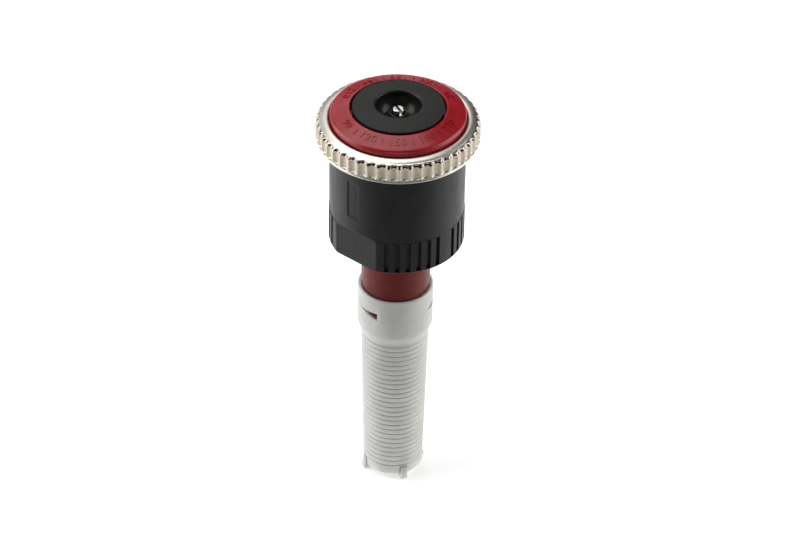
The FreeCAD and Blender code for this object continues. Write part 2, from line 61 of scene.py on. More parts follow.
def rounded(corners, closed=True, steps=5):
    """Outline points from (r, z, fillet) corners, each corner rounded by its fillet."""
    count = len(corners)
    points = []
    for i, (r, z, fillet) in enumerate(corners):
        here = Vector((r, z))
        if fillet <= 0 or (not closed and i in (0, count - 1)):
            points.append((r, z))
            continue
        to_last = Vector(corners[i - 1][:2]) - here
        to_next = Vector(corners[(i + 1) % count][:2]) - here
        room = 0.48 * min(to_last.length, to_next.length)
        to_last.normalize()
        to_next.normalize()
        half = to_last.angle(to_next) / 2
        if half > math.radians(88):
            points.append((r, z))
            continue
        reach = min(fillet / math.tan(half), room)
        radius = reach * math.tan(half)
        centre = here + (to_last + to_next).normalized() * (radius / math.sin(half))
        first = here + to_last * reach - centre
        last = here + to_next * reach - centre
        sweep = math.atan2(first.x * last.y - first.y * last.x, first.dot(last))
        for k in range(steps + 1):
            turn = sweep * k / steps
            points.append((centre.x + first.x * math.cos(turn) - first.y * math.sin(turn),
                           centre.y + first.x * math.sin(turn) + first.y * math.cos(turn)))
    return points


def arc_between(start, middle, end, steps):
    """Points on the circle through three (r, z) points, the first left out."""
    (ax, ay), (bx, by), (cx, cy) = start, middle, end
    d = 2 * (ax * (by - cy) + bx * (cy - ay) + cx * (ay - by))
    ux = ((ax * ax + ay * ay) * (by - cy) + (bx * bx + by * by) * (cy - ay)
          + (cx * cx + cy * cy) * (ay - by)) / d
    uy = ((ax * ax + ay * ay) * (cx - bx) + (bx * bx + by * by) * (ax - cx)
          + (cx * cx + cy * cy) * (bx - ax)) / d
    first = Vector((ax - ux, ay - uy))
    last = Vector((cx - ux, cy - uy))
    sweep = math.atan2(first.x * last.y - first.y * last.x, first.dot(last))
    points = []
    for k in range(1, steps + 1):
        turn = sweep * k / steps
        points.append((ux + first.x * math.cos(turn) - first.y * math.sin(turn),
                       uy + first.x * math.sin(turn) + first.y * math.cos(turn)))
    return points


def refined(outline, step, closed=True):
    """The outline with its long stretches divided so that no stretch is over step."""
    points = []
    count = len(outline)
    for i in range(count if closed else count - 1):
        a, b = Vector(outline[i]), Vector(outline[(i + 1) % count])
        parts = max(1, math.ceil((b - a).length / step))
        points += [tuple(a.lerp(b, k / parts)) for k in range(parts)]
    if not closed:
        points.append(tuple(outline[-1]))
    return points


def even(count):
    """Angles evenly spaced round the axis."""
    return [360.0 * i / count for i in range(count)]


def lathe_mesh(outline, angles, shape=None, closed=True):
    """Vertices and faces of an outline turned round the axis. shape(angle, r, z) bends a point.

    An angle is counted from the front (-Y) towards +X. A point with r of 0 is a pole.
    """
    verts, rings = [], []
    for r, z in outline:
        if r < 1e-6:
            rings.append([len(verts)] * len(angles))
            verts.append((0.0, 0.0, z))
            continue
        ring = []
        for a in angles:
            new_r, new_z = shape(a, r, z) if shape else (r, z)
            ring.append(len(verts))
            verts.append((new_r * math.sin(math.radians(a)),
                          -new_r * math.cos(math.radians(a)), new_z))
        rings.append(ring)
    faces = []
    pairs = list(zip(rings, rings[1:]))
    if closed:
        pairs.append((rings[-1], rings[0]))
    for low, high in pairs:
        for i in range(len(angles)):
            j = (i + 1) % len(angles)
            corners = []
            for v in (low[i], low[j], high[j], high[i]):
                if v not in corners:
                    corners.append(v)
            if len(corners) > 2:
                faces.append(tuple(corners))
    return verts, faces


def piece(name, parts, material, body, replaces=(), sharp=38):
    """Blender object from a list of (verts, faces) shells in millimetres, dressed and riding."""
    verts, faces = [], []
    for part_verts, part_faces in parts:
        start = len(verts)
        verts += [tuple(c * MM for c in v) for v in part_verts]
        faces += [tuple(i + start for i in f) for f in part_faces]
    mesh = bpy.data.meshes.new(name)
    mesh.from_pydata(verts, [], faces)
    obj = bpy.data.objects.new(name, mesh)
    bpy.context.scene.collection.objects.link(obj)
    tidy_mesh(obj, sharp)
    dress(obj, material, body, replaces)
    return obj


def tidy_mesh(obj, sharp):
    """Outward normals and smooth shading, with a crease where faces meet sharply."""
    import bmesh
    bm = bmesh.new()
    bm.from_mesh(obj.data)
    bmesh.ops.recalc_face_normals(bm, faces=bm.faces)
    bm.to_mesh(obj.data)
    bm.free()
    obj.data.shade_smooth()
    obj.data.set_sharp_from_angle(angle=math.radians(sharp))


def dress(obj, material, body, replaces=()):
    """Gives a piece its material and its body, and hides the CAD nodes it stands for."""
    obj.data.materials.clear()
    obj.data.materials.append(material)
    if replaces:
        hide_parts(*replaces)
    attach(obj, body)


def block(corners):
    """Closed shell of a six-sided block from its eight corners: four low, then four high."""
    faces = [(0, 3, 2, 1), (4, 5, 6, 7), (0, 1, 5, 4), (1, 2, 6, 5), (2, 3, 7, 6), (3, 0, 4, 7)]
    return list(corners), faces


def turned_part(part, angle):
    """A shell built on the front, turned to its angle round the axis."""
    c, s = math.cos(math.radians(angle)), math.sin(math.radians(angle))
    verts, faces = part
    return [(x * c - y * s, x * s + y * c, z) for x, y, z in verts], faces


def apply_modifiers(obj):
    """Replaces the object's mesh by its evaluated one."""
    graph = bpy.context.evaluated_depsgraph_get()
    mesh = bpy.data.meshes.new_from_object(obj.evaluated_get(graph))
    obj.modifiers.clear()
    obj.data = mesh


def cut_from(obj, parts):
    """Boolean difference of closed shells, in millimetres, from an object."""
    for verts, faces in parts:
        mesh = bpy.data.meshes.new("cutter")
        mesh.from_pydata([tuple(c * MM for c in v) for v in verts], [], faces)
        cutter = bpy.data.objects.new("cutter", mesh)
        bpy.context.scene.collection.objects.link(cutter)
        tidy_mesh(cutter, 30)
        cut = obj.modifiers.new("cut", "BOOLEAN")
        cut.operation = "DIFFERENCE"
        cut.solver = "EXACT"
        cut.object = cutter
        apply_modifiers(obj)
        bpy.data.objects.remove(cutter)
        bpy.data.meshes.remove(mesh)


# ---- materials ----------------------------------------------------------------------------

class Nodes:
    """A material's node tree with short calls to add and join its nodes."""

    def __init__(self, name):
        self.material = bpy.data.materials.new(name)
        self.material.use_nodes = True
        self.tree = self.material.node_tree
        self.shader = self.tree.nodes["Principled BSDF"]
        self.place = self.add("ShaderNodeTexCoord").outputs["Object"]

    def add(self, kind, **settings):
        node = self.tree.nodes.new(kind)
        for key, value in settings.items():
            setattr(node, key, value)
        return node

    def join(self, source, target):
        self.tree.links.new(source, target)

    def stretched(self, scale):
        mapping = self.add("ShaderNodeMapping")
        mapping.inputs["Scale"].default_value = scale
        self.join(self.place, mapping.inputs["Vector"])
        return mapping.outputs["Vector"]

    def noise(self, scale, detail=2.0, rough=0.5, vector=None):
        node = self.add("ShaderNodeTexNoise")
        node.inputs["Scale"].default_value = scale
        node.inputs["Detail"].default_value = detail
        node.inputs["Roughness"].default_value = rough
        self.join(vector or self.place, node.inputs["Vector"])
        return node.outputs["Fac"]

    def remap(self, value, low, high, from_low=0.3, from_high=0.7):
        node = self.add("ShaderNodeMapRange")
        node.inputs["From Min"].default_value = from_low
        node.inputs["From Max"].default_value = from_high
        node.inputs["To Min"].default_value = low
        node.inputs["To Max"].default_value = high
        self.join(value, node.inputs["Value"])
        return node.outputs["Result"]

    def blend(self, share, first, second):
        """Mix of two colours, each a plain (r, g, b) or another node's output."""
        node = self.add("ShaderNodeMix", data_type="RGBA")
        for socket, value in (("A", first), ("B", second)):
            if hasattr(value, "node"):
                self.join(value, node.inputs[socket])
            else:
                node.inputs[socket].default_value = (*value, 1)
        self.join(share, node.inputs["Factor"])
        return node.outputs["Result"]

    def between(self, share, first, second):
        """Mix of two numbers, each another node's output."""
        node = self.add("ShaderNodeMix", data_type="FLOAT")
        self.join(share, node.inputs["Factor"])
        self.join(first, node.inputs["A"])
        self.join(second, node.inputs["B"])
        return node.outputs["Result"]

    def math(self, operation, a, b):
        node = self.add("ShaderNodeMath", operation=operation)
        for socket, value in zip(node.inputs, (a, b)):
            if isinstance(value, (int, float)):
                socket.default_value = value
            else:
                self.join(value, socket)
        return node.outputs["Value"]

    def bump(self, height, distance, strength=1.0, after=None):
        node = self.add("ShaderNodeBump")
        node.inputs["Strength"].default_value = strength
        node.inputs["Distance"].default_value = distance
        self.join(height, node.inputs["Height"])
        if after:
            self.join(after, node.inputs["Normal"])
        return node.outputs["Normal"]

    def set(self, **values):
        for name, value in values.items():
            socket = self.shader.inputs[name.replace("_", " ")]
            if hasattr(value, "node"):
                self.join(value, socket)
            else:
                socket.default_value = value


def moulded(name, dark, light, rough, grain=9000.0, depth=0.000004, specular=0.5,
            coat=0.0, patch=260.0):
    """Moulded plastic: slight cloudiness of colour, fine grain, and slow change in gloss."""
    n = Nodes(name)
    cloud = n.noise(patch, 3.0, 0.6)
    fine = n.noise(grain, 2.0, 0.6)
    flow = n.noise(900.0, 2.0, 0.5, n.stretched((1.0, 1.0, 0.25)))
    n.set(Base_Color=n.blend(n.remap(cloud, 0.0, 1.0), dark, light),
          Roughness=n.remap(flow, rough * 0.86, rough * 1.14),
          Normal=n.bump(fine, depth))
    n.set(Specular_IOR_Level=specular)
    if coat:
        n.set(Coat_Weight=coat, Coat_Roughness=0.12)
    return n.material


def body_black():
    """Satin black of the housing, with a fine spark-eroded grain."""
    return moulded("body_black", (0.0075, 0.0085, 0.0068), (0.0115, 0.0125, 0.0105), 0.40,
                   grain=7000.0, depth=0.000005, specular=0.28)


def cap_black():
    """Cap: matt texture on the disc, polished in the bowl."""
    n = Nodes("cap_black")
    cloud = n.noise(420.0, 3.0, 0.6)
    fine = n.noise(6500.0, 3.0, 0.65)
    n.set(Base_Color=n.blend(n.remap(cloud, 0.0, 1.0), (0.010, 0.0095, 0.0085),
                             (0.014, 0.0132, 0.012)))
    axes = n.add("ShaderNodeSeparateXYZ")
    n.join(n.place, axes.inputs["Vector"])
    from_axis = n.math("SQRT", n.math("ADD", n.math("MULTIPLY", axes.outputs["X"],
                                                    axes.outputs["X"]),
                                      n.math("MULTIPLY", axes.outputs["Y"],
                                             axes.outputs["Y"])), 0.0)
    outside = n.remap(from_axis, 0.0, 1.0, 0.0038, 0.0043)
    rough = n.math("ADD", n.math("MULTIPLY", outside, 0.25), 0.28)
    n.set(Roughness=rough, Specular_IOR_Level=0.3)
    n.set(Normal=n.bump(n.math("MULTIPLY", fine, outside), 0.000045))
    return n.material


def head_red():
    """Glossy dark red of the turning head."""
    return moulded("head_red", (0.275, 0.003, 0.010), (0.335, 0.004, 0.014), 0.30,
                   grain=5200.0, depth=0.0000035, specular=0.45, coat=0.15, patch=340.0)


def tube_red():
    """Browner, softer red of the inlet tube."""
    return moulded("tube_red", (0.120, 0.009, 0.008), (0.142, 0.011, 0.010), 0.36,
                   grain=6000.0, depth=0.000004, specular=0.2, patch=300.0)


def filter_white():
    """Natural white polypropylene that lets light in."""
    n = Nodes("filter_white")
    cloud = n.noise(190.0, 4.0, 0.6)
    fine = n.noise(6000.0, 2.0, 0.6)
    n.set(Base_Color=n.blend(n.remap(cloud, 0.0, 1.0), (0.56, 0.56, 0.525), (0.63, 0.63, 0.595)),
          Roughness=n.remap(n.noise(700.0), 0.36, 0.50),
          Normal=n.bump(fine, 0.000004))
    n.set(Subsurface_Weight=0.7, Subsurface_Radius=(1.0, 0.95, 0.85), Subsurface_Scale=0.0025,
          Specular_IOR_Level=0.45)
    return n.material


def ring_nickel():
    """Nickel-plated casting: sandy flutes, polished rim and bevel, satin top, and painted shade on
    the bevel, whose colour is darkened to stand for the dark reflection it catches.
    """
    n = Nodes("ring_nickel")
    axes = n.add("ShaderNodeSeparateXYZ")
    n.join(n.place, axes.inputs["Vector"])
    z = axes.outputs["Z"]
    above_flutes = n.remap(z, 0.0, 1.0, 0.0741, 0.0742)
    below_flutes = n.remap(z, 1.0, 0.0, 0.0720, 0.07205)
    polished = n.math("MAXIMUM", above_flutes, below_flutes)
    # painted shade: mask of the bevel band, where the colour is darkened in place of the dark
    # reflection seen there
    bevel = n.math("MULTIPLY", above_flutes, n.remap(z, 1.0, 0.0, 0.07452, 0.0748))
    sand = n.noise(3600.0, 3.0, 0.7)
    brushed = n.noise(1500.0, 3.0, 0.6, n.stretched((1.0, 1.0, 6.0)))
    stain = n.noise(420.0, 4.0, 0.6)
    bright = n.blend(n.remap(stain, 0.0, 1.0), (0.70, 0.65, 0.58), (0.80, 0.75, 0.68))
    # the bevel band takes a dark colour as painted shade
    plated = n.blend(bevel, bright, (0.30, 0.28, 0.25))
    cast = n.blend(n.remap(sand, 0.0, 1.0), (0.66, 0.58, 0.46), (0.86, 0.78, 0.64))
    satin = n.remap(z, 0.0, 0.16, 0.0746, 0.0749)
    top_rough = n.math("ADD", satin, n.remap(brushed, 0.15, 0.21))
    n.set(Base_Color=n.blend(polished, cast, plated),
          Metallic=n.remap(polished, 0.15, 1.0, 0.0, 1.0),
          Roughness=n.between(polished, n.remap(sand, 0.46, 0.66), top_rough))
    grain = n.bump(n.math("MULTIPLY", sand, n.math("SUBTRACT", 1.0, polished)), 0.000035)
    n.set(Normal=n.bump(brushed, 0.0000015, after=grain))
    return n.material


def stainless():
    """Turned stainless steel with fine tool rings."""
    n = Nodes("stainless_turned")
    rings = n.noise(5200.0, 2.0, 0.6, n.stretched((0.2, 0.2, 3.0)))
    n.set(Metallic=1.0,
          Base_Color=n.blend(n.noise(900.0), (0.60, 0.58, 0.55), (0.72, 0.70, 0.66)),
          Roughness=n.remap(rings, 0.18, 0.32), Normal=n.bump(rings, 0.000003))
    return n.material


def rubber():
    """Black seal rubber."""
    return moulded("seal_black", (0.010, 0.010, 0.010), (0.016, 0.016, 0.016), 0.62,
                   grain=4200.0, depth=0.00001, specular=0.35)


def inner_black():
    """Dark moulded plastic of the inner pieces."""
    return moulded("inner_black", (0.018, 0.018, 0.020), (0.030, 0.030, 0.032), 0.45)


def bearing_cream():
    """Acetal of the bearings, the drum and the nut."""
    return moulded("bearing_cream", (0.58, 0.56, 0.50), (0.66, 0.64, 0.58), 0.40)


# ---- pieces -------------------------------------------------------------------------------
BASKET_LOW_R, BASKET_LOW_Z = 5.27, 1.0
BASKET_HIGH_R, BASKET_HIGH_Z = 5.91, 30.9
SLOT_PITCH, SLOT_HEIGHT, SLOT_FIRST_Z, SLOT_COUNT = 1.05, 0.08, 2.98, 27
COLLAR_R, COLLAR_TOP_Z = 6.54, 40.55
TUBE_R, TUBE_BOTTOM_Z = 5.95, 33.5


def basket_r(z):
    """Outer radius of the tapered basket."""
    share = (z - BASKET_LOW_Z) / (BASKET_HIGH_Z - BASKET_LOW_Z)
    return BASKET_LOW_R + share * (BASKET_HIGH_R - BASKET_LOW_R)


def strainer_rings():
    """The basket's ribs: a closed ring between each two slots."""
    rings = []
    wall = 0.85
    for i in range(1, SLOT_COUNT):
        low = SLOT_FIRST_Z + (i - 1) * SLOT_PITCH + SLOT_HEIGHT
        high = SLOT_FIRST_Z + i * SLOT_PITCH
        outline = rounded([(basket_r(low) - wall, low, 0.05), (basket_r(low), low, 0.16),
                           (basket_r(high), high, 0.16), (basket_r(high) - wall, high, 0.05)])
        rings.append(lathe_mesh(outline, even(144)))
    return rings


def strainer_bars():
    """Eight upright bars inside the rings, one closed shell each."""
    bars = []
    low, high = BASKET_LOW_Z + 0.5, BASKET_HIGH_Z + 0.6
    for k in range(8):
        x = 0.45
        inner = 4.27
        corners = [(-x, -inner, low), (x, -inner, low), (x, -(basket_r(low) - 0.4), low),
                   (-x, -(basket_r(low) - 0.4), low),
                   (-x, -inner, high), (x, -inner, high), (x, -(basket_r(high) - 0.4), high),
                   (-x, -(basket_r(high) - 0.4), high)]
        bars.append(turned_part(block(corners), 22.5 + 45 * k))
    return bars


def basket_floor():
    """The basket's closed bottom with the start of its wall."""
    top = SLOT_FIRST_Z
    outline = rounded([(0, BASKET_LOW_Z, 0), (BASKET_LOW_R, BASKET_LOW_Z, 0.22),
                       (basket_r(top), top, 0.16), (basket_r(top) - 0.85, top, 0.05),
                       (basket_r(top) - 0.9, BASKET_LOW_Z + 1.0, 0.3),
                       (0, BASKET_LOW_Z + 1.0, 0)], closed=False)
    return lathe_mesh(outline, even(144), closed=False)


def collar_outline():
    """Neck cone and clip collar above the last slot."""
    low = SLOT_FIRST_Z + (SLOT_COUNT - 1) * SLOT_PITCH + SLOT_HEIGHT
    bore = TUBE_R + 0.08
    return rounded([(basket_r(low) - 0.85, low, 0.05), (basket_r(low), low, 0.14),
                    (BASKET_HIGH_R, BASKET_HIGH_Z, 0.3), (COLLAR_R, 32.6, 0.9),
                    (COLLAR_R, COLLAR_TOP_Z, 0.45),
                    (bore, COLLAR_TOP_Z, 0.1), (bore, TUBE_BOTTOM_Z, 0.05),
                    (BASKET_HIGH_R - 0.85, TUBE_BOTTOM_Z, 0.05),
                    (BASKET_HIGH_R - 0.85, BASKET_HIGH_Z, 0.3)])


def clip_window():
    """Cutter for a clip window: a slit that widens to a square end."""
    half, inner, outer = 19.0, TUBE_R - 0.4, COLLAR_R + 0.4
    verts, steps = [], 12
    for i in range(steps + 1):
        share = i / steps
        a = math.radians(-half + 2 * half * share)
        top = 37.18 + 0.48 * share
        bottom = 37.12 - 1.10 * share
        for r, z in ((inner, bottom), (outer, bottom), (outer, top), (inner, top)):
            verts.append((r * math.sin(a), -r * math.cos(a), z))
    faces = [(0, 1, 2, 3), tuple(4 * steps + k for k in (3, 2, 1, 0))]
    for i in range(steps):
        for k in range(4):
            here, there = 4 * i + k, 4 * i + (k + 1) % 4
            faces.append((here, here + 4, there + 4, there))
    return verts, faces


def foot(angle):
    """One foot: a rounded fin under the floor that turns up the wall and flares at its toe."""
    thick, reach = 0.62, 5.80
    verts, faces = [], []
    side = [(1.8, 1.15), (1.8, 0.30), (2.1, 0.0), (5.45, 0.0), (reach, 0.12), (reach, 0.55),
            (5.56, 1.35), (5.42, 2.55), (5.10, 2.60), (5.0, 1.15)]
    outline = rounded([(r, z, 0.14) for r, z in side], steps=3)
    layers = ((-1.0, 0.16), (-0.86, 0.03), (-0.5, 0.0), (0.5, 0.0), (0.86, 0.03), (1.0, 0.16))
    mid_r = sum(r for r, _ in outline) / len(outline)
    mid_z = sum(z for _, z in outline) / len(outline)
    for offset, shrink in layers:
        for r, z in outline:
            pull = shrink * 0.6
            verts.append((offset * thick, -(r + (mid_r - r) * pull * 0.35),
                          max(0.0, z + (mid_z - z) * pull)))
    count = len(outline)
    for layer in range(len(layers) - 1):
        for i in range(count):
            j = (i + 1) % count
            a, b = layer * count, (layer + 1) * count
            faces.append((a + i, a + j, b + j, b + i))
    faces.append(tuple(range(count)))
    faces.append(tuple(reversed(range((len(layers) - 1) * count, len(layers) * count))))
    return turned_part((verts, faces), angle)


def make_filter(material):
    """Collar with its windows cut, joined with the rings, bars, floor and feet."""
    collar = piece("filter_basket_moulding", [lathe_mesh(collar_outline(), even(288))],
                   material, "filter", ("filter_basket",))
    cut_from(collar, [turned_part(clip_window(), a) for a in (-47, 73, 193)])
    bevel = collar.modifiers.new("soft", "BEVEL")
    bevel.width = 0.00007
    bevel.segments = 3
    bevel.limit_method = "ANGLE"
    bevel.angle_limit = math.radians(55)
    apply_modifiers(collar)
    verts = [tuple(v.co / MM) for v in collar.data.vertices]
    faces = [tuple(p.vertices) for p in collar.data.polygons]
    parts = [(verts, faces), basket_floor()] + strainer_rings() + strainer_bars()
    parts += [foot(a) for a in (21.8, 111.8, 201.8, 291.8)]
    bpy.data.objects.remove(collar)
    return piece("filter_basket_moulding", parts, material, "filter",
                 ("filter_basket",), sharp=50)


# housing
BASE_BOTTOM_Z, BASE_TOP_Z = 50.9, 72.5
GRIP_TOP_Z, GRIP_PROUD = 57.1, 0.09
FLAT_ANGLE, FLAT_HALF = -39.25, 22.25
GROOVE_WIDTH, GROOVE_DEPTH, GROOVE_RIM = 0.74, 0.50, 0.35
THREAD_R, THREAD_DEPTH, THREAD_PITCH = 7.94, 0.45, 25.4 / 28


def base_r(z):
    """Outer radius of the slightly tapered housing."""
    return 11.50 + 0.10 * (z - BASE_BOTTOM_Z) / (BASE_TOP_Z - BASE_BOTTOM_Z)


GRIP_R = base_r(GRIP_TOP_Z) + GRIP_PROUD
FLAT_R = GRIP_R * math.cos(math.radians(FLAT_HALF))
GROOVE_HALF = math.degrees(GROOVE_WIDTH / 2 / GRIP_R)
GROOVES = [FLAT_ANGLE + 31.5 + 9 * k + side for side in (0, 180) for k in range(14) if k != 6]
PANEL = (-45.5, -34.0, 60.5, 67.7, 0.16)


def housing_angles():
    """Columns for the housing: even ones, and more at each groove, flat and panel edge."""
    angles = set(round(a, 3) for a in even(180))
    for centre in GROOVES:
        for edge in (centre - GROOVE_HALF, centre + GROOVE_HALF):
            for step in (-0.7, -0.35, -0.15, 0.15, 0.35, 0.7):
                angles.add(round((edge + step) % 360, 3))
    for side in (0, 180):
        for edge in (FLAT_ANGLE - FLAT_HALF + side, FLAT_ANGLE + FLAT_HALF + side):
            for step in (-0.8, -0.3, 0.0, 0.3, 0.8):
                angles.add(round((edge + step) % 360, 3))
    for edge in PANEL[:2]:
        for step in (-0.5, -0.2, 0.2, 0.5):
            angles.add(round((edge + step) % 360, 3))
    return sorted(angles)


def housing_shape(a, r, z):
    """Cuts the grip grooves, the wrench flats and the blank panel into the outer wall."""
    if r < 10.4 or z > 71.0:
        return r, z
    for side in (0, 180):
        off = abs(turn_gap(a, FLAT_ANGLE + side))
        if off < FLAT_HALF + 2:
            slope = max(0.0, z - GRIP_TOP_Z) * 1.15
            limit = (FLAT_R + slope) / math.cos(math.radians(off))
            r = min(r, limit)
    if z < GRIP_TOP_Z + 0.2:
        gap = min(abs(turn_gap(a, g)) for g in GROOVES)
        inside = 1 - smooth(GROOVE_HALF - 0.2, GROOVE_HALF + 0.2, gap)
        inside *= 1 - smooth(GRIP_TOP_Z - 0.10, GRIP_TOP_Z + 0.0, z)
        inside *= smooth(BASE_BOTTOM_Z + GROOVE_RIM - 0.04, BASE_BOTTOM_Z + GROOVE_RIM + 0.04, z)
        if inside > 0:
            r = min(r, GRIP_R - GROOVE_DEPTH * inside)
    low_a, high_a, low_z, high_z, depth = PANEL
    if low_z - 0.3 < z < high_z + 0.3 and low_a - 1 < turn_gap(a, 0) < high_a + 1:
        angle = turn_gap(a, 0)
        share = smooth(low_a - 0.3, low_a + 0.3, angle) * (1 - smooth(high_a - 0.3, high_a + 0.3,
                                                                     angle))
        share *= smooth(low_z - 0.06, low_z + 0.06, z) * (1 - smooth(high_z - 0.06, high_z + 0.06,
                                                                    z))
        r -= depth * share
    return r, z


def thread_points():
    """The riser thread's flanks, from the web down to the mouth."""
    points = []
    z = 58.9
    while z > BASE_BOTTOM_Z + 1.3:
        points += [(THREAD_R, z), (THREAD_R - 0.02, z - 0.12)]
        points += [(THREAD_R - THREAD_DEPTH, z - THREAD_PITCH / 2 + 0.05),
                   (THREAD_R - THREAD_DEPTH, z - THREAD_PITCH / 2 - 0.05)]
        z -= THREAD_PITCH
    return points


def make_housing(material):
    """Body: outer wall in fine rows where it is cut, thread, web and cup inside."""
    outer = rounded([(THREAD_R + 0.5, BASE_BOTTOM_Z, 0), (GRIP_R, BASE_BOTTOM_Z, 0.22),
                     (GRIP_R, GRIP_TOP_Z, 0.10), (base_r(GRIP_TOP_Z), GRIP_TOP_Z + 0.10, 0.06),
                     (base_r(71.4), 71.4, 0.0)], closed=False)
    rows = refined(outer, 0.5, closed=False)
    extra = [GRIP_TOP_Z - 0.12, GRIP_TOP_Z - 0.06]
    extra += [BASE_BOTTOM_Z + GROOVE_RIM + step for step in (-0.05, 0.0, 0.05)]
    extra += [GRIP_TOP_Z + 0.12 + 0.1 * i for i in range(9)]
    extra += [edge + step for edge in PANEL[2:4] for step in (-0.08, -0.03, 0.03, 0.08)]
    for z in extra:
        for i in range(len(rows) - 1):
            (r0, z0), (r1, z1) = rows[i], rows[i + 1]
            if z0 + 0.01 < z < z1 - 0.01 and r0 > 11.0:
                share = (z - z0) / (z1 - z0)
                rows.insert(i + 1, (r0 + share * (r1 - r0), z))
                break
    inner = rounded([(11.35, 71.4, 0.03), (11.35, 72.0, 0.03), (11.60, 72.0, 0.03),
                     (11.60, BASE_TOP_Z, 0.18), (9.76, BASE_TOP_Z, 0.15), (9.76, 61.3, 0.1),
                     (TUBE_R + 0.03, 61.3, 0.05), (TUBE_R + 0.03, 60.3, 0.05),
                     (THREAD_R, 60.3, 0.1), (THREAD_R, 59.0, 0)], closed=False, steps=3)
    outline = rows + inner + thread_points() + [(THREAD_R, BASE_BOTTOM_Z + 0.5)]
    return piece("body_housing", [lathe_mesh(outline, housing_angles(), housing_shape)],
                 material, "base", ("base_housing",), sharp=32)


def make_tube(material):
    """Inlet tube with its flange and keys."""
    outline = rounded([(4.6, TUBE_BOTTOM_Z, 0.15), (TUBE_R, TUBE_BOTTOM_Z, 0.35),
                       (TUBE_R, 61.3, 0.0), (9.73, 61.3, 0.1), (9.73, 62.3, 0.1),
                       (4.6, 62.3, 0.15)])
    keys = []
    for side in (0, 180):
        x, inner, outer, low, high = 0.5, 4.05, 4.8, 34.2, 55.5
        keys.append(turned_part(block([(-x, -outer, low), (x, -outer, low), (x, -inner, low),
                                       (-x, -inner, low), (-x, -outer, high), (x, -outer, high),
                                       (x, -inner, high), (-x, -inner, high)]), side))
    return piece("inlet_tube_moulding", [lathe_mesh(refined(outline, 2.0), even(192))] + keys,
                 material, "base", ("inlet_tube",))


# arc ring
RING_R, RING_BORE_R, RING_TOP_BORE_R = 13.90, 11.66, 11.72
RING_BOTTOM_Z, RING_TOP_Z = 71.3, 75.15
BEVEL_LOW, BEVEL_HIGH, CREST = (RING_R, 74.0), (13.1, 74.8), (12.0, RING_TOP_Z)
FLUTES, FLUTE_DEPTH, FLUTE_R, FLUTE_LOW_Z, FLUTE_FIRST = 48, 0.45, 0.85, 71.9, 5.25
FLUTE_SCOOP, FLUTE_TOP_CUT, FLUTE_EDGE = 0.30, 0.22, 0.045


def ring_shape(a, r, z):
    """Concave flutes in the outer wall: scooped at the bottom, deeper where they meet the bevel."""
    if r < 13.2 or z < FLUTE_LOW_Z - 0.02:
        return r, z
    pitch = 360.0 / FLUTES
    off = (a - FLUTE_FIRST) % pitch
    across = math.radians(min(off, pitch - off)) * RING_R
    if across >= FLUTE_R:
        return r, z
    floor = RING_R - FLUTE_DEPTH - FLUTE_TOP_CUT * smooth(74.16, 74.60, z)
    scoop = min(1.0, max(0.0, (z - FLUTE_LOW_Z) / FLUTE_SCOOP))
    floor += FLUTE_DEPTH * (1 - math.sqrt(1 - (1 - scoop) ** 2))
    limit = floor + FLUTE_R - math.sqrt(FLUTE_R ** 2 - across ** 2)
    gap = limit - r
    if gap > FLUTE_EDGE:
        return r, z
    if gap < -FLUTE_EDGE:
        return limit, z
    return r - (FLUTE_EDGE - gap) ** 2 / (4 * FLUTE_EDGE), z


def make_ring(material):
    """Arc ring: fluted wall, rounded bevel, nearly flat top, and the web inside."""
    corners = [(RING_BORE_R, RING_BOTTOM_Z, 0.08), (RING_R, RING_BOTTOM_Z, 0.14)]
    outline = rounded(corners + [(*BEVEL_LOW, 0)], closed=False)
    outline = [(RING_BORE_R + 0.1, RING_BOTTOM_Z)] + outline[1:]
    outline = refined(outline, 0.16, closed=False)
    for step in (-0.03, 0.0, 0.01, 0.03, 0.07, 0.12, 0.18, 0.24, FLUTE_SCOOP):
        outline.append((RING_R, FLUTE_LOW_Z + step))
    # the bottom face keeps its order, and the wall's rows go by height
    outline.sort(key=lambda p: (p[1] > RING_BOTTOM_Z + 0.05, p[1] if p[0] > 13.8 else 0))
    outline += arc_between(BEVEL_LOW, (13.70, 74.42), BEVEL_HIGH, 16)
    outline += arc_between(BEVEL_HIGH, (12.6, 75.04), CREST, 10)
    outline += rounded([(*CREST, 0), (RING_TOP_BORE_R, 75.0, 0.12), (RING_TOP_BORE_R, 73.35, 0.05),
                        (9.73, 73.35, 0.05), (9.73, 72.75, 0.05), (RING_BORE_R, 72.75, 0.05),
                        (RING_BORE_R, 71.9, 0.0), (RING_BORE_R - 0.2, 71.8, 0.02),
                        (RING_BORE_R - 0.2, 71.6, 0.02), (RING_BORE_R, 71.5, 0.0),
                        (RING_BORE_R, RING_BOTTOM_Z + 0.1, 0)], closed=False, steps=3)[1:]
    return piece("arc_ring_metal", [lathe_mesh(outline, even(FLUTES * 22), ring_shape)],
                 material, "arc_set", ("arc_ring",), sharp=45)


# head
HEAD_R, HEAD_STEP_Z = 11.50, 74.2
FLARE = ((3.3, 65.3), (5.2, 70.4), (HEAD_R, HEAD_STEP_Z))
CHANNELS, CHANNEL_HALF, CHANNEL_DEEP = 14, 0.62, 0.62
CONE_LOW, CONE_HIGH = (10.94, 76.3), (8.38, 77.2)


def flare_points(steps):
    """The concave flare under the head."""
    return [FLARE[0]] + arc_between(FLARE[0], FLARE[1], FLARE[2], steps)


